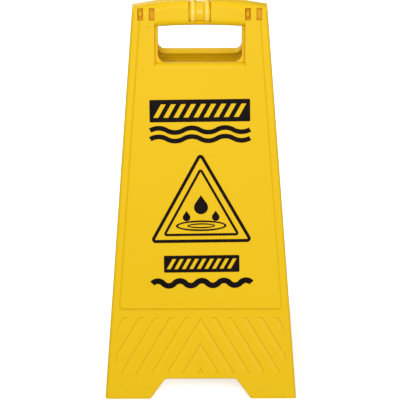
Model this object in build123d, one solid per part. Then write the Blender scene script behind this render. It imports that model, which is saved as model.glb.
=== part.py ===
from build123d import *
import os
from math import cos, radians, sin, tan

# Folding A-frame floor sign, in millimetres.
#
# Each panel is modelled in its own frame: the hinge axis is the X axis, +Z runs up the panel, and the
# outward side is -Y. "depth" is the distance outwards from the hinge axis, so y = -depth.
# The panels are then leaned back by LEAN and lifted until the feet stand on z = 0.

# Overall size
SIGN_LENGTH = 636.0          # folded, from the foot to the top of the grip
FOOT_WIDTH = 305.0
TOP_WIDTH = 210.0
LEAN = 15.0                  # degrees each panel leans from vertical when the sign stands open
CREST = 20.0                 # top of the grip above the hinge axis, at mid width
FIELD_DEPTH = 20.0           # outer face of the raised field
RIM_DEPTH = 18.0             # outer face of the rim and of the lower part
WALL = 2.5
PARTING_GAP = 0.3            # each panel stays this far from the plane where they meet when folded
SEAM_GAP = 0.15              # the same at the seam on top of the grip, when open

# Grip
GRIP_HALF = 71.0             # half length between the side posts
GRIP_LOW_MIDDLE = 18.8       # underside below the hinge axis
GRIP_LOW_END = 21.2
CREST_DROP = 9.0             # how much lower the crown is at the outer corners
CROWN_HALF = 107.0           # half length over which the crown is shaped
CROWN_STATIONS = (0.0, 30.0, 55.0, 80.0, CROWN_HALF)
CROWN_LOW = -8.0             # the crown's shape starts at this height, and the underside's ends
CROWN_ROUND_MIDDLE = 9.5
CROWN_ROUND_END = 17.0
ROUND_END_X = 78.0           # the crown has its full rounding from here outwards
UNDER_ROUND = 10.0
GRIP_RIB_X = (32.0, 47.0, 62.0)
RIB = 2.0                    # thickness of the inner ribs
RIB_GAP = 1.2                # between the grip's ribs and the parting plane

# Neck and clip at mid grip
NECK_HALF = 17.3
NECK_RADIUS = 17.0
NECK_WALL = 2.5
NECK_END = -40.0             # degrees below straight outwards where the neck stops
CLIP_HALF = 17.0
CLIP_START = -38.0
CLIP_STOP = 186.0
CLIP_RADIUS = 19.0
RIDGE_OFFSET = 11.0
RIDGE_HALF = 6.0
RIDGE_HEIGHT = 2.3
CLIP_CLEARANCE = 0.35        # between the clip and the grip half that turns inside it

# Hinge
INNER_SLOT_X = 75.2
OUTER_SLOT_X = 93.0
SLOT_WIDTH = 8.8
SLOT_LOW = -11.0
SLOT_HIGH = 7.8
SLOT_CORNER = 1.0
SLOT_FLOOR = 8.5             # depth of the floor of a slot's pocket
SLOT_WALL = 1.5              # wall of the pocket
PIN_RADIUS = 3.5
PIN_LAND_RADIUS = 3.58       # knurled length that grips the front panel's lug
LUG_BORE_RADIUS = 3.58
LUG_RADIUS = 6.5
LUG_THICKNESS = 5.5
LUG_WEB_DEPTH = 9.0
LUG_WEB_DROP = 3.0           # how far the web runs below the slot
LUG_NOSE_RADIUS = 8.0
LUG_NOSE_CENTRE = 4.0
LUG_NOSE_GAP = 1.0           # between the nose and the parting plane
PIN_OUTER_X = 99.5
PIN_INNER_X = 68.5
PIN_CHAMFER = 0.6

# Hand window with its finger scoop
WINDOW_HALF = 66.0
WINDOW_SILL = -77.0
WINDOW_CORNER = 12.5
POCKET_DEPTH = 12.0          # depth of the ledge that the window is cut through
SCOOP_END = -87.0            # where the rounded sill below the window meets the field

# Raised field
FIELD_INSET = 11.4           # from the panel's edge to the foot of the step
FIELD_STEP = 3.0             # width of the sloping step
FIELD_LOW = -471.0
FIELD_CORNER = 6.0
EDGE_ROUND = 5.0
FIELD_HOLLOW_DROP = 10.0     # how far below the scoop the field's own hollow starts

# Chevron strips
CHEVRON_HIGH = -483.5
CHEVRON_LOW = -573.0
CHEVRON_INSET = 13.0
CHEVRON_PITCH = 41.0
CHEVRON_STRIP = 8.6          # width of a strip, square to its length
CHEVRON_ANGLE = 31.0         # from vertical
CHEVRON_DEPTH = 1.2          # at the outer side of a strip, running out to nothing at its inner side
CHEVRON_WALL = 1.2           # width of a strip's steep wall
CHEVRON_FIRST = -5           # strips start at this many pitches above the first apex
CHEVRON_LAST = 2

# Foot arch
ARCH_TOP = -583.0
ARCH_TOP_HALF = 56.4
ARCH_FOOT_HALF = 80.8
ARCH_CORNER = 7.0
ARCH_ROUND = 2.0             # rounding of the arch's outer edge

# Inner stiffening ribs, as heights on the panel
RIB_LEVELS = (-150.0, -235.0, -320.0, -405.0)
RIB_HEIGHT = 8.0

# Moulding gate mark on the left post
GATE_X = -81.5
GATE_Z = -22.0
GATE_RADIUS = 2.8
GATE_DEPTH = 0.5

# Printed films, as places on the panel measured down from the hinge axis
FILM = 0.3
PRINT_TILT = 0.55            # degrees the whole print sits askew
PRINT_CENTRE = (0.9, -280.0)
STRIPES = 9
STRIPE_SLANT = 30.0          # degrees from vertical
STRIPE_SHARE = 0.5           # width of a stripe as a share of the pitch
STRIPE_HEIGHT = 0.6          # and its height as a share of the band's
BAND_CORNER = 2.0
HEADER_SIZE = (158.0, 35.4)
HEADER_Z = -152.6
TITLE_LENGTH = 157.0
TITLE_Z = -190.0
TITLE_WAVES = 6
TITLE_BEND = 30.0            # degrees of arc on each side of a half wave's middle
TITLE_STROKE = 7.4
TITLE_SPACING = 13.6
TRIANGLE_BASE = 164.6
TRIANGLE_HEIGHT = 146.0
TRIANGLE_FOOT_Z = -362.4
TRIANGLE_LINE = 5.0
TRIANGLE_CORNER = 6.0
INNER_BASE = 122.9
INNER_HEIGHT = 110.0
INNER_FOOT_Z = -351.6
INNER_LINE = 3.8
INNER_CORNER = 4.0
DROPS = ((0.0, -306.0, 11.0), (-23.0, -322.0, 6.0), (23.0, -322.0, 6.0))
DROP_POINT = 35.0            # degrees between a drop's side and its middle line
RIPPLES = ((80.0, 17.0, 3.6), (44.0, 8.0, 2.8))
RIPPLES_Z = -335.5
RIPPLE_THINNING = 0.75       # a ripple's line at top and bottom, as a share of that at its ends
LOWER_BAND_SIZE = (119.4, 27.1)
LOWER_BAND_Z = -396.5
SUBTITLE_LENGTH = 157.0
SUBTITLE_Z = -427.5
SUBTITLE_WAVES = 9
SUBTITLE_BEND = 48.0
SUBTITLE_STROKE = 9.0

LEAN_SLOPE = tan(radians(LEAN))
FOOT_OUTER = SIGN_LENGTH - CREST
FOOT_INNER = FOOT_OUTER - FIELD_DEPTH * LEAN_SLOPE
AXIS_HEIGHT = FOOT_INNER * cos(radians(LEAN))
TAPER = (FOOT_WIDTH - TOP_WIDTH) / 2 / SIGN_LENGTH
FAR = 60.0                   # further than any feature near the hinge reaches
OVER = 1.0                   # how far a cutter stands past what it cuts
INSIDE = 1.0                 # how far from the outer surface an inner wall ends
BELOW = 20.0                 # how far a panel runs below the floor before it is cut there
TOUCH = 0.01                 # edges this near a height or depth count as lying on it

FRONT = Pos(0, 0, AXIS_HEIGHT) * Rot(X=-LEAN)
REAR = Rot(Z=180) * FRONT


def half_width(z):
    return FOOT_WIDTH / 2 - TAPER * (z + FOOT_OUTER)


def trapezoid(low, high, inset):
    """A stretch of the panel's outline between two heights, drawn in from its sides."""
    wide = half_width(low) - inset
    narrow = half_width(high) - inset
    return Polygon((-wide, low), (wide, low), (narrow, high), (-narrow, high), align=None)


def prism(sketch, near, far):
    """A sketch in X and Z, extruded between two depths."""
    return extrude(Plane.XZ.offset(near) * sketch, far - near, dir=(0, -1, 0))


def side_prism(points, x_low, x_high):
    """A side profile given as (depth, z) points, extruded between two X positions."""
    outline = Polygon(*[(-depth, z) for depth, z in points], align=None)
    return extrude(Plane.YZ.offset(x_low) * outline, x_high - x_low, dir=(1, 0, 0))


def block(x_low, x_high, near, far, low, high):
    return side_prism([(near, low), (far, low), (far, high), (near, high)], x_low, x_high)


def arc_to(centre, start, stop):
    """The arc about centre from start to stop, all (depth, z), as sketch edges of a side profile."""
    first = Vector(-start[0], start[1])
    last = Vector(-stop[0], stop[1])
    middle = Vector(-centre[0], centre[1])
    crest = middle + ((first + last) * 0.5 - middle).normalized() * (first - middle).length
    return ThreePointArc(first, crest, last)


def rod(radius, x_low, x_high):
    return extrude(Plane.YZ.offset(x_low) * Circle(radius), x_high - x_low)


def corner_section(x, depth, base, top, rounding):
    """A quarter of the grip's section, from base to depth and top, with that corner rounded."""
    outline = Polygon((0, base), (-depth, base), (-depth, top), (0, top), align=None)
    corner = outline.vertices().sort_by_distance((-depth, top))[0]
    return Plane.YZ.offset(x) * fillet(corner, rounding)


def crown(depth, shrink):
    """The grip and post tops: full at mid width, lower and rounder towards the corners."""
    sections = []
    for x in (*(-station for station in reversed(CROWN_STATIONS[1:])), *CROWN_STATIONS):
        top = CREST - CREST_DROP * (abs(x) / CROWN_HALF) ** 3 - shrink
        share = min(1.0, abs(x) / ROUND_END_X) ** 2
        rounding = CROWN_ROUND_MIDDLE + (CROWN_ROUND_END - CROWN_ROUND_MIDDLE) * share - shrink
        sections.append(corner_section(x, depth, CROWN_LOW, top, rounding))
    return loft(sections)


def grip_underside(depth, shrink, half_length):
    """The grip below its crown, with its underside arched between the posts."""
    sections = []
    for x in (-half_length, 0.0, half_length):
        low = GRIP_LOW_MIDDLE + (GRIP_LOW_END - GRIP_LOW_MIDDLE) * (x / half_length) ** 2 - shrink
        sections.append(corner_section(x, depth, CROWN_LOW, -low, UNDER_ROUND - shrink))
    return loft(sections)


def below_floor(lift):
    """Everything under a plane that is parallel to the floor when the sign stands open."""
    at_axis = -(FOOT_INNER - lift / cos(radians(LEAN)))
    reach = 2 * FIELD_DEPTH
    profile = [
        (-reach, at_axis + reach * LEAN_SLOPE),
        (reach, at_axis - reach * LEAN_SLOPE),
        (reach, -FOOT_OUTER - FAR),
        (-reach, -FOOT_OUTER - FAR),
    ]
    return side_prism(profile, -FOOT_WIDTH, FOOT_WIDTH)


def seam_wedge():
    """What is cut from the top of each grip half, so that the halves meet when the sign is open."""
    profile = [
        (SEAM_GAP, 0),
        (SEAM_GAP + FAR * LEAN_SLOPE, FAR),
        (-FAR, FAR),
        (-FAR, 0),
    ]
    return side_prism(profile, -FOOT_WIDTH, FOOT_WIDTH)


def window_outline(grow):
    """The hand window, left open upwards: the grip closes it."""
    half = WINDOW_HALF + grow
    sill = WINDOW_SILL - grow
    outline = Polygon((-half, sill), (half, sill), (half, 0), (-half, 0), align=None)
    corners = outline.vertices().group_by(Axis.Y)[0]
    return fillet(corners, WINDOW_CORNER + grow)


def arch_outline(grow):
    """The trapezoid cut between the feet, run on below the floor."""
    flare = (ARCH_FOOT_HALF - ARCH_TOP_HALF) / (FOOT_OUTER + ARCH_TOP)
    top = ARCH_TOP + grow
    top_half = ARCH_TOP_HALF + grow * ((1 + flare**2) ** 0.5 - flare)
    low_half = top_half + flare * FAR
    outline = Polygon((-low_half, top - FAR), (low_half, top - FAR), (top_half, top), (-top_half, top),
                      align=None)
    corners = outline.vertices().group_by(Axis.Y)[-1]
    return fillet(corners, ARCH_CORNER + grow)


def scoop(grow):
    """The pocket round the window, with a rounded sill that runs out on the field."""
    drop = WINDOW_SILL - SCOOP_END
    rise = FIELD_DEPTH - POCKET_DEPTH
    radius = (drop**2 + rise**2) / (2 * rise)
    centre = (FIELD_DEPTH - radius, SCOOP_END)
    inner = radius - grow
    floor = POCKET_DEPTH - grow
    start = (floor, SCOOP_END + (inner**2 - (floor - centre[0]) ** 2) ** 0.5)
    stop = (FIELD_DEPTH - grow, SCOOP_END)
    reach = FIELD_DEPTH + OVER
    outline = make_face([
        arc_to(centre, start, stop),
        Polyline((-stop[0], stop[1]), (-reach, stop[1]), (-reach, OVER), (-floor, OVER),
                 (-start[0], start[1])),
    ])
    half = GRIP_HALF + grow
    return extrude(Plane.YZ.offset(-half) * outline, 2 * half, dir=(1, 0, 0))


def field_outline(inset):
    outline = trapezoid(FIELD_LOW + inset - FIELD_INSET, FAR, inset)
    corners = outline.vertices().group_by(Axis.Y)[0]
    return fillet(corners, FIELD_CORNER)


def rim_step():
    """What is cut away round the raised field, leaving a sloping step."""
    slope = FIELD_STEP / (FIELD_DEPTH - RIM_DEPTH)
    near = Plane.XZ.offset(RIM_DEPTH) * field_outline(FIELD_INSET)
    far = Plane.XZ.offset(FIELD_DEPTH + OVER) * field_outline(FIELD_INSET + FIELD_STEP + OVER * slope)
    whole = prism(trapezoid(-FOOT_OUTER - FAR, FAR, -FAR / 2), RIM_DEPTH, FIELD_DEPTH + OVER)
    return whole - loft([near, far], ruled=True)


def edge_rounder():
    """What is cut from the panel's right-hand outer edge to round it."""
    start = -FOOT_OUTER - BELOW
    stop = FAR / 2
    run = Vector(half_width(stop) - half_width(start), 0, stop - start)
    outwards = Vector(run.Z, 0, -run.X)
    plane = Plane(origin=(half_width(start), -RIM_DEPTH, start), x_dir=outwards, z_dir=run)
    square = Polygon((-EDGE_ROUND, -OVER), (OVER, -OVER), (OVER, EDGE_ROUND), (-EDGE_ROUND, EDGE_ROUND),
                     align=None)
    profile = square - Pos(-EDGE_ROUND, EDGE_ROUND) * Circle(EDGE_ROUND)
    return extrude(plane * profile, run.length, dir=run)


def chevron_arm(apex):
    """The right-hand arm of one inverted V, as a long wedge: steep outside, running out on the inside."""
    angle = radians(CHEVRON_ANGLE)
    along = Vector(sin(angle), 0, -cos(angle))
    plane = Plane(origin=(0, -RIM_DEPTH, apex), x_dir=(cos(angle), 0, sin(angle)), z_dir=along)
    profile = Polygon((0, OVER), (0, 0), (-CHEVRON_WALL, -CHEVRON_DEPTH), (-CHEVRON_STRIP, 0),
                      (-CHEVRON_STRIP, OVER), align=None)
    wedge = extrude(plane * profile, FOOT_WIDTH, dir=along)
    return wedge + extrude(plane * profile, CHEVRON_STRIP, dir=-along)


def chevrons():
    """All the arms to the right of the middle, clipped to their zone."""
    zone = prism(trapezoid(CHEVRON_LOW, CHEVRON_HIGH, CHEVRON_INSET), RIM_DEPTH - WALL, RIM_DEPTH + OVER)
    zone &= block(0, FOOT_WIDTH, 0, FAR, -FOOT_OUTER, 0)
    arms = Part()
    for count in range(CHEVRON_FIRST, CHEVRON_LAST + 1):
        arms += chevron_arm(CHEVRON_HIGH - CHEVRON_PITCH * count) & zone
    return arms


def slot_outline(x):
    outline = RectangleRounded(SLOT_WIDTH, SLOT_HIGH - SLOT_LOW, SLOT_CORNER)
    return Pos(x, (SLOT_HIGH + SLOT_LOW) / 2) * outline


def arch_edges(form):
    """The outer edges of the foot arch."""
    outer = form.edges().filter_by_position(Axis.Y, -RIM_DEPTH - TOUCH, -RIM_DEPTH + TOUCH)
    low = outer.filter_by_position(Axis.Z, -FOOT_OUTER - FAR, ARCH_TOP + TOUCH)
    return low.filter_by(lambda edge: abs(edge.center().X) < ARCH_FOOT_HALF + ARCH_CORNER)


def outer_form():
    """The panel as if it were solid, with its outer surface finished."""
    form = prism(trapezoid(-FOOT_OUTER - BELOW, CROWN_LOW, 0), PARTING_GAP, FIELD_DEPTH)
    form -= prism(window_outline(0), -OVER, FIELD_DEPTH + OVER)
    form -= scoop(0)
    sides = prism(trapezoid(CROWN_LOW - OVER, FAR, 0), -OVER, FIELD_DEPTH + OVER)
    form += crown(FIELD_DEPTH, 0) & sides
    form += grip_underside(FIELD_DEPTH, 0, GRIP_HALF + OVER)
    form -= prism(Rectangle(3 * FOOT_WIDTH, 3 * SIGN_LENGTH), -OVER, PARTING_GAP)
    form -= seam_wedge()
    form -= rim_step()
    rounder = edge_rounder()
    form -= rounder
    form -= mirror(rounder, about=Plane.YZ)
    form -= prism(arch_outline(0), -OVER, FIELD_DEPTH + OVER)
    form = fillet(arch_edges(form), ARCH_ROUND)
    form -= below_floor(0)
    return form - neck_ring()


def neck_ring():
    """What is cut from the grip at mid width, leaving a round neck for the clip."""
    ring = rod(FAR / 2, -NECK_HALF, NECK_HALF) - rod(NECK_RADIUS, -NECK_HALF, NECK_HALF)
    end = radians(NECK_END)
    above = [(0, 0), (FAR * cos(end), FAR * sin(end)), (FAR, FAR), (-FAR, FAR), (-FAR, 0)]
    return ring & side_prism(above, -NECK_HALF, NECK_HALF)


def cavity():
    """The hollow inside the panel, open at the parting plane."""
    rim_floor = RIM_DEPTH - WALL
    field_floor = FIELD_DEPTH - WALL
    near = -2 * OVER
    hollow = prism(trapezoid(-FOOT_OUTER - BELOW, CROWN_LOW, WALL), -OVER, rim_floor)
    hollow += prism(trapezoid(FIELD_LOW + FIELD_CORNER, SCOOP_END - FIELD_HOLLOW_DROP,
                              FIELD_INSET + FIELD_STEP + WALL), rim_floor - OVER, field_floor)
    hollow -= prism(window_outline(WALL), near, FIELD_DEPTH)
    hollow -= scoop(WALL)
    hollow -= prism(arch_outline(WALL), near, FIELD_DEPTH)
    hollow -= below_floor(WALL)
    sides = prism(trapezoid(CROWN_LOW - OVER, FAR, WALL), near, FIELD_DEPTH)
    grip = crown(rim_floor, WALL) & sides
    grip += grip_underside(rim_floor, WALL, GRIP_HALF + OVER)
    grip -= block(-NECK_HALF - WALL, NECK_HALF + WALL, near, FIELD_DEPTH, -FAR, FAR)
    grip += rod(NECK_RADIUS - NECK_WALL, -NECK_HALF - 2 * WALL, NECK_HALF + 2 * WALL)
    return hollow + grip


def slot_pocket(x, form):
    """The walls round a slot, before the slot itself is cut."""
    half = SLOT_WIDTH / 2 + SLOT_WALL
    return form & block(x - half, x + half, SLOT_FLOOR - SLOT_WALL, RIM_DEPTH - INSIDE,
                        SLOT_LOW - SLOT_WALL, SLOT_HIGH + SLOT_WALL)


def lug(x, form):
    """A hinge lug: a web under the crown with a ring round the hinge axis and a rounded nose."""
    low = x - LUG_THICKNESS / 2
    high = x + LUG_THICKNESS / 2
    web = block(low, high, PARTING_GAP, LUG_WEB_DEPTH, SLOT_LOW - LUG_WEB_DROP, CREST) & form
    middle = (SLOT_LOW + SLOT_HIGH) / 2
    nose = Pos(0, -LUG_NOSE_CENTRE, middle) * rod(LUG_NOSE_RADIUS, low, high)
    nose &= block(low, high, LUG_NOSE_GAP, FIELD_DEPTH, -FAR, FAR)
    return web + nose + rod(LUG_RADIUS, low, high)


def grip_ribs(form):
    """Cross ribs inside the hollow grip."""
    ribs = Part()
    for x in GRIP_RIB_X:
        rib = block(x - RIB / 2, x + RIB / 2, RIB_GAP, RIM_DEPTH - INSIDE, -FAR, FAR) & form
        ribs += rib
        ribs += mirror(rib, about=Plane.YZ)
    return ribs


def face_ribs(form):
    """Low ribs across the back of the face."""
    ribs = Part()
    for level in RIB_LEVELS:
        strip = trapezoid(level - RIB / 2, level + RIB / 2, INSIDE)
        ribs += prism(strip, FIELD_DEPTH - WALL - RIB_HEIGHT, FIELD_DEPTH - INSIDE)
    return ribs & form


def panel():
    form = outer_form()
    lug_positions = (-OUTER_SLOT_X, INNER_SLOT_X)
    shell = form - cavity()
    shell += grip_ribs(form) + face_ribs(form)
    for x in (-OUTER_SLOT_X, -INNER_SLOT_X, INNER_SLOT_X, OUTER_SLOT_X):
        shell += slot_pocket(x, form)
        shell -= prism(slot_outline(x), SLOT_FLOOR, FIELD_DEPTH + OVER)
    arms = chevrons()
    shell -= arms
    shell -= mirror(arms, about=Plane.YZ)
    gate = Pos(GATE_X, GATE_Z) * Circle(GATE_RADIUS)
    shell -= prism(gate, FIELD_DEPTH - GATE_DEPTH, FIELD_DEPTH + OVER)
    for x in lug_positions:
        shell += lug(x, form)
    for x in lug_positions:
        shell -= rod(LUG_BORE_RADIUS, x - LUG_THICKNESS, x + LUG_THICKNESS)
    return shell


def hinge_pin(outer_x, inner_x, land_x):
    """A pin from its outer end to its inner end, with the knurled land where the front lug holds it."""
    low = min(outer_x, inner_x)
    high = max(outer_x, inner_x)
    pin = rod(PIN_RADIUS, low, high)
    pin = chamfer(pin.edges().filter_by(GeomType.CIRCLE), PIN_CHAMFER)
    return pin + rod(PIN_LAND_RADIUS, land_x - LUG_THICKNESS / 2, land_x + LUG_THICKNESS / 2)


def clip_profile():
    """Half the clip's section through the hinge axis: a flat band with two rounded ridges on it."""
    inner = OVER - NECK_RADIUS
    outer = -CLIP_RADIUS
    crest = outer - RIDGE_HEIGHT
    corners = [(RIDGE_OFFSET - RIDGE_HALF, outer), (-RIDGE_OFFSET + RIDGE_HALF, outer)]
    edges = [
        Polyline((-CLIP_HALF, outer), (-CLIP_HALF, inner), (CLIP_HALF, inner), (CLIP_HALF, outer)),
        ThreePointArc((CLIP_HALF, outer), (RIDGE_OFFSET, crest), corners[0]),
        Line(*corners),
        ThreePointArc(corners[1], (-RIDGE_OFFSET, crest), (-CLIP_HALF, outer)),
    ]
    return make_face(edges)


def grip_clip():
    """An open strap round the front, top and back of the grip."""
    ring = revolve(clip_profile(), Axis.X)
    ring -= rod(NECK_RADIUS, -FAR, FAR)
    seam = radians(90 - LEAN)
    behind = [(0, 0), (FAR * cos(seam), FAR * sin(seam)), (-FAR, FAR), (-FAR, -FAR), (0, -FAR)]
    ring -= rod(NECK_RADIUS + CLIP_CLEARANCE, -FAR, FAR) & side_prism(behind, -FAR, FAR)
    opening = [(0, 0)]
    for angle in (CLIP_STOP, (CLIP_STOP + CLIP_START + 360) / 2, CLIP_START + 360):
        opening.append((FAR * cos(radians(angle)), FAR * sin(radians(angle))))
    return ring - side_prism(opening, -FAR, FAR)


def wave(length, count, stroke, bend):
    """A band of even width that follows count half waves, each an arc of twice the bend."""
    angle = radians(bend)
    chord = length / count
    radius = chord / (2 * sin(angle))
    reach = 3 * radius
    ring = Circle(radius + stroke / 2) - Circle(radius - stroke / 2)
    side = (reach * sin(angle), reach * cos(angle))
    sector = Polygon((0, 0), side, (0, 2 * reach), (-side[0], side[1]), align=None)
    arc = Pos(0, -radius * cos(angle)) * (ring & sector)
    band = Sketch()
    for number in range(count):
        x = chord * (number + 0.5) - length / 2
        band += Pos(x, 0) * Rot(Z=180 * (number % 2)) * arc
    return band


def striped_band(size):
    """A black band with slanting stripes cut out of it."""
    width, height = size
    pitch = width / (STRIPES + 1)
    inner = height * STRIPE_HEIGHT / 2
    rise = inner * tan(radians(STRIPE_SLANT))
    half = pitch * STRIPE_SHARE / 2
    band = RectangleRounded(width, height, BAND_CORNER)
    for number in range(STRIPES):
        x = pitch * (number + 1) - width / 2
        band -= Polygon((x - half - rise, -inner), (x + half - rise, -inner), (x + half + rise, inner),
                        (x - half + rise, inner), align=None)
    return band


def triangle_ring(base, height, line, corner):
    """A rounded triangle outline standing on its base."""
    outline = Polygon((-base / 2, 0), (base / 2, 0), (0, height), align=None)
    outer = fillet(outline.vertices(), corner)
    return outer - offset(outer, -line)


def drop(x, z, radius):
    """A water drop: a circle with two tangents that meet above it."""
    spread = radians(DROP_POINT)
    tip = radius / sin(spread)
    side = radius * cos(spread)
    rise = radius * sin(spread)
    cap = Polygon((-side, rise), (side, rise), (0, tip), align=None)
    return Pos(x, z) * (Circle(radius) + cap)


def ripple(width, height, line):
    return Ellipse(width / 2, height / 2) - Ellipse(width / 2 - line, height / 2 - line * RIPPLE_THINNING)


def print_shapes():
    """Each printed shape by name, as a sketch on the panel's face."""
    title = wave(TITLE_LENGTH, TITLE_WAVES, TITLE_STROKE, TITLE_BEND)
    subtitle = wave(SUBTITLE_LENGTH, SUBTITLE_WAVES, SUBTITLE_STROKE, SUBTITLE_BEND)
    drops = Sketch()
    for place in DROPS:
        drops += drop(*place)
    ripples = Sketch()
    for size in RIPPLES:
        ripples += ripple(*size)
    return {
        "header_band": Pos(0, HEADER_Z) * striped_band(HEADER_SIZE),
        "title_wave_upper": Pos(0, TITLE_Z + TITLE_SPACING / 2) * title,
        "title_wave_lower": Pos(0, TITLE_Z - TITLE_SPACING / 2) * title,
        "triangle_outer": Pos(0, TRIANGLE_FOOT_Z) * triangle_ring(
            TRIANGLE_BASE, TRIANGLE_HEIGHT, TRIANGLE_LINE, TRIANGLE_CORNER),
        "triangle_inner": Pos(0, INNER_FOOT_Z) * triangle_ring(
            INNER_BASE, INNER_HEIGHT, INNER_LINE, INNER_CORNER),
        "drops": drops,
        "ripples": Pos(0, RIPPLES_Z) * ripples,
        "lower_band": Pos(0, LOWER_BAND_Z) * striped_band(LOWER_BAND_SIZE),
        "subtitle_wave": Pos(0, SUBTITLE_Z) * subtitle,
    }


def film(sketch):
    """A printed shape as a thin solid on the field, turned with the rest of the print."""
    centre = Pos(*PRINT_CENTRE)
    turned = centre * Rot(Z=PRINT_TILT) * Pos(0, -PRINT_CENTRE[1]) * sketch
    return prism(turned, FIELD_DEPTH, FIELD_DEPTH + FILM)


def main():
    os.makedirs("parts", exist_ok=True)
    moulding = panel()
    nodes = {
        "front_panel": FRONT * moulding,
        "rear_panel": REAR * moulding,
        "left_hinge_pin": FRONT * hinge_pin(-PIN_OUTER_X, -PIN_INNER_X, -OUTER_SLOT_X),
        "right_hinge_pin": FRONT * hinge_pin(PIN_OUTER_X, PIN_INNER_X, INNER_SLOT_X),
        "grip_clip": FRONT * grip_clip(),
    }
    for name, sketch in print_shapes().items():
        piece = film(sketch)
        nodes["front_" + name] = FRONT * piece
        nodes["rear_" + name] = REAR * piece
    for name, shape in nodes.items():
        export_step(shape, os.path.join("parts", name + ".step"))


main()
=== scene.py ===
from math import cos, radians, sin

import bpy
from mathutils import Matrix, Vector


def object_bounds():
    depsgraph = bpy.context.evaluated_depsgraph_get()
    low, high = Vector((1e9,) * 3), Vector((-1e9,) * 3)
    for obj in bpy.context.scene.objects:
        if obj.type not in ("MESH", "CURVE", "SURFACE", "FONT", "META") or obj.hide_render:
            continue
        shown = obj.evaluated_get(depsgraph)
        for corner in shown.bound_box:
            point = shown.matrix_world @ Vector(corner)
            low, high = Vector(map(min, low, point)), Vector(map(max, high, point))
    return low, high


# A folding floor sign in yellow plastic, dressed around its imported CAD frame. Lengths are in metres.

# Camera
CAMERA_ELEVATION = 23.5      # degrees above the horizon
CAMERA_DISTANCE = 4.0
CAMERA_LENS = 228.2          # millimetres, on the default 36 mm sensor
CAMERA_ROLL = 0.15           # degrees anticlockwise that the sign stands askew in the frame
AIM_ASIDE = -0.0004
AIM_BACK = 0.536             # the point aimed at, as a share of the way from the middle to the front
AIM_UP = 0.507               # and as a share of the height

# Lamps: name, place, height aimed at, size, power in watts, colour
LAMPS = (
    ("key_softbox", (-0.55, -3.0, 2.15), 0.42, 1.6, 64.0, (1.0, 0.99, 0.97)),
    ("fill_softbox", (1.3, -2.9, 1.3), 0.35, 1.6, 31.5, (0.98, 0.99, 1.0)),
    ("top_softbox", (0.0, 0.3, 2.8), 0.40, 2.4, 18.0, (1.0, 1.0, 0.99)),
    ("back_softbox", (-1.0, 2.9, 1.7), 0.35, 1.8, 34.0, (1.0, 1.0, 0.99)),
)
WHITE = (1.0, 1.0, 1.0, 1.0)
WORLD_STRENGTH = 0.30
FLOOR_GLOW = 0.50

# The clip, and the zone at the feet that gets scuffed
CLIP_RIDGE_X = 0.0112        # the clip's two ridges stand this far from the middle
RIDGE_HIGHLIGHT_HALF = 0.0034          # half width of the painted highlight strip along a ridge
SCUFF_HEIGHT = 0.045

# Floor
FLOOR_SIZE = 40.0
FLOOR_CELLS = 8

YELLOW = (0.84, 0.535, 0.004)
YELLOW_DEEP = (0.80, 0.48, 0.002)
YELLOW_PALE = (0.92, 0.66, 0.09)
# pale yellow of the painted highlight along the clip's ridges
YELLOW_RIDGE_HIGHLIGHT = (0.98, 0.80, 0.22)
FLOOR_DARK = (0.94, 0.94, 0.94)
FLOOR_LIGHT = (0.96, 0.96, 0.96)
# deeper orange: painted shade in corners and recesses, and the bare plastic showing through pin holes
# in the ink
YELLOW_SHADE_AND_BARE = (0.74, 0.36, 0.001)
SCUFF = (0.50, 0.27, 0.02)
INK = (0.004, 0.002, 0.002)
INK_WORN = (0.016, 0.008, 0.005)
PIN = (0.62, 0.40, 0.05)
# darker nylon: the turned rings, and painted shade where the pin sits in recesses
PIN_RINGS_AND_SHADE = (0.34, 0.20, 0.02)

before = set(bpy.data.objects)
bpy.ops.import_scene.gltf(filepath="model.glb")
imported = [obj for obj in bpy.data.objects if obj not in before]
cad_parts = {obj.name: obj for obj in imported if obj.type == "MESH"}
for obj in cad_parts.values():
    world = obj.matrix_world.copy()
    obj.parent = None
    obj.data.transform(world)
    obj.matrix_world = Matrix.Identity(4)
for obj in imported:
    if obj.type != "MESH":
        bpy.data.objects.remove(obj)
cad_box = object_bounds()


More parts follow.
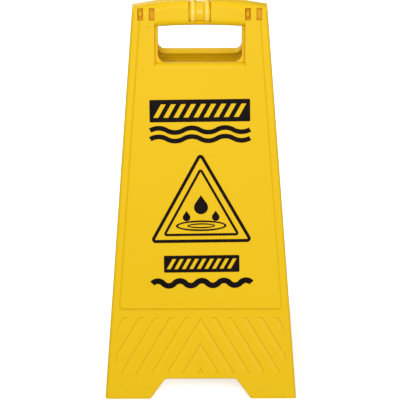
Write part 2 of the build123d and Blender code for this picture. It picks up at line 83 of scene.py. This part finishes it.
class Shader:
    """A material's node tree, with short calls for the nodes that the finishes share."""

    def __init__(self, name):
        self.material = bpy.data.materials.new(name)
        self.material.use_nodes = True
        self.tree = self.material.node_tree
        self.surface = self.tree.nodes["Principled BSDF"]
        self.place = self.tree.nodes.new("ShaderNodeTexCoord").outputs["Object"]

    def node(self, kind, **settings):
        made = self.tree.nodes.new(kind)
        for key, value in settings.items():
            setattr(made, key, value)
        return made

    def join(self, source, target):
        self.tree.links.new(source, target)

    def noise(self, scale, detail=3.0, roughness=0.55, stretch=(1, 1, 1), distortion=0.0):
        mapping = self.node("ShaderNodeMapping")
        mapping.inputs["Scale"].default_value = stretch
        self.join(self.place, mapping.inputs["Vector"])
        made = self.node("ShaderNodeTexNoise")
        made.inputs["Scale"].default_value = scale
        made.inputs["Detail"].default_value = detail
        made.inputs["Roughness"].default_value = roughness
        made.inputs["Distortion"].default_value = distortion
        self.join(mapping.outputs["Vector"], made.inputs["Vector"])
        return made.outputs["Fac"]

    def ramp(self, source, low, high, start=0.0, stop=1.0):
        made = self.node("ShaderNodeMapRange", clamp=True)
        made.inputs["From Min"].default_value = low
        made.inputs["From Max"].default_value = high
        made.inputs["To Min"].default_value = start
        made.inputs["To Max"].default_value = stop
        self.join(source, made.inputs["Value"])
        return made.outputs["Result"]

    def maths(self, operation, first, second):
        made = self.node("ShaderNodeMath", operation=operation)
        for socket, value in zip(made.inputs, (first, second)):
            if isinstance(value, (int, float)):
                socket.default_value = value
            else:
                self.join(value, socket)
        return made.outputs["Value"]

    def blend(self, share, first, second):
        made = self.node("ShaderNodeMix", data_type="RGBA")
        self.join(share, made.inputs["Factor"])
        for socket, value in ((made.inputs[6], first), (made.inputs[7], second)):
            if isinstance(value, tuple):
                socket.default_value = (*value, 1.0)
            else:
                self.join(value, socket)
        return made.outputs[2]

    def edge(self, radius, low, high):
        """High on edges and corners: how far the rounded normal leaves the true one."""
        rounded = self.node("ShaderNodeBevel", samples=6)
        rounded.inputs["Radius"].default_value = radius
        true = self.node("ShaderNodeNewGeometry")
        product = self.node("ShaderNodeVectorMath", operation="DOT_PRODUCT")
        self.join(rounded.outputs["Normal"], product.inputs[0])
        self.join(true.outputs["Normal"], product.inputs[1])
        return self.ramp(product.outputs["Value"], high, low)

    def shade_mask(self, distance):
        """High in corners and recesses, where shade falls: the mask for painted shade."""
        made = self.node("ShaderNodeAmbientOcclusion", samples=6)
        made.inputs["Distance"].default_value = distance
        return self.ramp(made.outputs["AO"], 0.95, 0.35)

    def place_along(self, axis):
        """A point's coordinate along one axis, in metres."""
        parts = self.node("ShaderNodeSeparateXYZ")
        self.join(self.place, parts.inputs["Vector"])
        return parts.outputs[axis]

    def bumps(self, layers, rounding=0.0):
        """Bump layers given as (height, strength, distance), over softly rounded edges."""
        normal = None
        if rounding:
            rounded = self.node("ShaderNodeBevel", samples=6)
            rounded.inputs["Radius"].default_value = rounding
            normal = rounded.outputs["Normal"]
        for height, strength, distance in layers:
            made = self.node("ShaderNodeBump")
            made.inputs["Strength"].default_value = strength
            made.inputs["Distance"].default_value = distance
            self.join(height, made.inputs["Height"])
            if normal:
                self.join(normal, made.inputs["Normal"])
            normal = made.outputs["Normal"]
        self.join(normal, self.surface.inputs["Normal"])

    def finish(self, colour, roughness, gloss):
        self.join(colour, self.surface.inputs["Base Color"])
        self.join(roughness, self.surface.inputs["Roughness"])
        self.surface.inputs["Specular IOR Level"].default_value = gloss
        return self.material


def moulded_yellow(name, smooth, rough, grain, gloss, ridge=0.0):
    """Moulded polypropylene: flow marks, a fine grain, painted shade deepening its crevices and
    recesses, rubbed edges and scuffed feet.

    With ridge, a pale painted highlight strip runs along each side of the middle, that far from it.
    """
    s = Shader(name)
    flow = s.noise(5.0, detail=4.0, stretch=(1.0, 1.0, 0.45), distortion=0.6)
    speck = s.noise(900.0, detail=2.0)
    colour = s.blend(s.ramp(flow, 0.35, 0.70, 0.0, 0.35), YELLOW, YELLOW_DEEP)
    colour = s.blend(s.ramp(speck, 0.45, 0.75, 0.0, 0.07), colour, YELLOW_PALE)
    # Painted shade: a deeper orange blended in where corners and recesses hold shade, at two reaches.
    colour = s.blend(s.maths("MULTIPLY", s.shade_mask(0.008), 0.60), colour, YELLOW_SHADE_AND_BARE)
    colour = s.blend(s.maths("MULTIPLY", s.shade_mask(0.0025), 0.60), colour, YELLOW_SHADE_AND_BARE)
    rub = s.maths("MULTIPLY", s.edge(0.0012, 0.80, 0.985), s.ramp(s.noise(60.0), 0.40, 0.65))
    colour = s.blend(s.maths("MULTIPLY", rub, 0.40), colour, YELLOW_PALE)
    if ridge:
        # Painted highlight: a pale strip along each ridge of the clip, where its gloss catches the
        # lamps.
        aside = s.maths("SUBTRACT", s.maths("ABSOLUTE", s.place_along("X"), 0.0), ridge)
        ridge_highlight = s.ramp(s.maths("ABSOLUTE", aside, 0.0), RIDGE_HIGHLIGHT_HALF, 0.0)
        colour = s.blend(s.maths("MULTIPLY", ridge_highlight, 0.60), colour, YELLOW_RIDGE_HIGHLIGHT)
    scuff_zone = s.ramp(s.place_along("Z"), SCUFF_HEIGHT, 0.0)
    streaks = s.ramp(s.noise(120.0, detail=5.0, stretch=(1, 1, 3)), 0.50, 0.70)
    scuff = s.maths("MULTIPLY", scuff_zone, streaks)
    colour = s.blend(s.maths("MULTIPLY", scuff, 0.30), colour, SCUFF)
    wear = s.ramp(s.noise(22.0, detail=5.0), 0.30, 0.75, smooth, rough)
    roughness = s.maths("ADD", wear, s.maths("MULTIPLY", scuff, 0.15))
    texture = s.noise(grain, detail=2.0)
    ripple = s.noise(14.0, detail=1.0)
    s.bumps(((ripple, 0.25, 0.0006), (texture, 0.30, 0.00012)), rounding=0.0009)
    return s.finish(colour, roughness, gloss)


def screen_ink(name):
    """Screen-printed ink: a slightly uneven coat, thin in places, with worn specks."""
    s = Shader(name)
    coat = s.noise(45.0, detail=4.0)
    pin_holes = s.noise(1500.0, detail=2.0)
    colour = s.blend(s.ramp(coat, 0.45, 0.80, 0.0, 0.45), INK, INK_WORN)
    colour = s.blend(s.ramp(pin_holes, 0.72, 0.80, 0.0, 0.6), colour, YELLOW_SHADE_AND_BARE)
    colour = s.blend(s.maths("MULTIPLY", s.edge(0.0003, 0.80, 0.985), 0.25), colour, INK_WORN)
    roughness = s.ramp(coat, 0.30, 0.75, 0.34, 0.50)
    s.bumps(((s.noise(1100.0, detail=2.0), 0.35, 0.00010), (coat, 0.15, 0.0002)))
    return s.finish(colour, roughness, 0.05)


def pin_nylon(name):
    """Turned nylon pin: faint rings round its length."""
    s = Shader(name)
    rings = s.noise(40.0, detail=2.0, stretch=(60.0, 1.0, 1.0))
    colour = s.blend(s.ramp(rings, 0.30, 0.75), PIN, PIN_RINGS_AND_SHADE)
    # Painted shade: the pin darkens where it sits in recesses.
    colour = s.blend(s.maths("MULTIPLY", s.shade_mask(0.006), 0.6), colour, PIN_RINGS_AND_SHADE)
    roughness = s.ramp(s.noise(90.0), 0.30, 0.70, 0.35, 0.55)
    s.bumps(((rings, 0.35, 0.00015),), rounding=0.0004)
    return s.finish(colour, roughness, 0.4)


def pale_floor(name):
    """A matt white floor that glows a little, as a lit studio sweep does."""
    s = Shader(name)
    s.surface.inputs["Roughness"].default_value = 0.85
    s.surface.inputs["Specular IOR Level"].default_value = 0.15
    mottle = s.noise(3.0, detail=4.0)
    s.join(s.blend(s.ramp(mottle, 0.3, 0.7), FLOOR_DARK, FLOOR_LIGHT), s.surface.inputs["Base Color"])
    s.surface.inputs["Emission Color"].default_value = WHITE
    s.surface.inputs["Emission Strength"].default_value = FLOOR_GLOW
    return s.material


def dress(node, material):
    """Puts one material on a CAD node."""
    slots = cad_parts[node].data.materials
    if len(slots) == 0:
        slots.append(material)
    for number in range(len(slots)):
        slots[number] = material


def dress_sign():
    panel = moulded_yellow("panel_yellow", 0.36, 0.48, 1400.0, 0.13)
    clip = moulded_yellow("clip_yellow", 0.32, 0.42, 2200.0, 0.35, ridge=CLIP_RIDGE_X)
    pin = pin_nylon("pin_nylon")
    ink = screen_ink("print_ink")
    finishes = {"front_panel": panel, "rear_panel": panel, "grip_clip": clip,
                "left_hinge_pin": pin, "right_hinge_pin": pin}
    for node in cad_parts:
        dress(node, finishes.get(node, ink))


def make_floor():
    bpy.ops.mesh.primitive_grid_add(x_subdivisions=FLOOR_CELLS, y_subdivisions=FLOOR_CELLS,
                                    size=FLOOR_SIZE)
    floor = bpy.context.object
    floor.name = "floor"
    floor.data.materials.append(pale_floor("floor_pale"))
    floor.visible_diffuse = False


def aim(thing, target):
    away = Vector(thing.location) - Vector(target)
    thing.rotation_euler = away.to_track_quat("Z", "Y").to_euler()


def make_lamps():
    for name, place, aim_height, size, power, colour in LAMPS:
        light = bpy.data.lights.new(name, "AREA")
        light.shape = "SQUARE"
        light.size = size
        light.energy = power
        light.color = colour
        lamp = bpy.data.objects.new(name, light)
        bpy.context.scene.collection.objects.link(lamp)
        lamp.location = place
        aim(lamp, (0, 0, aim_height))
    world = bpy.data.worlds.new("studio")
    bpy.context.scene.world = world
    world.use_nodes = True
    background = world.node_tree.nodes["Background"]
    background.inputs["Color"].default_value = WHITE
    background.inputs["Strength"].default_value = WORLD_STRENGTH


def make_camera():
    low, high = cad_box
    target = Vector((AIM_ASIDE, low.y * AIM_BACK, high.z * AIM_UP))
    tilt = radians(CAMERA_ELEVATION)
    back = Vector((0, -cos(tilt), sin(tilt)))
    data = bpy.data.cameras.new("camera")
    data.lens = CAMERA_LENS
    camera = bpy.data.objects.new("camera", data)
    bpy.context.scene.collection.objects.link(camera)
    camera.location = target + back * CAMERA_DISTANCE
    aim(camera, target)
    camera.rotation_euler.rotate_axis("Z", -radians(CAMERA_ROLL))
    bpy.context.scene.camera = camera


bpy.context.scene.view_settings.view_transform = "Standard"
dress_sign()
make_floor()
make_lamps()
make_camera()
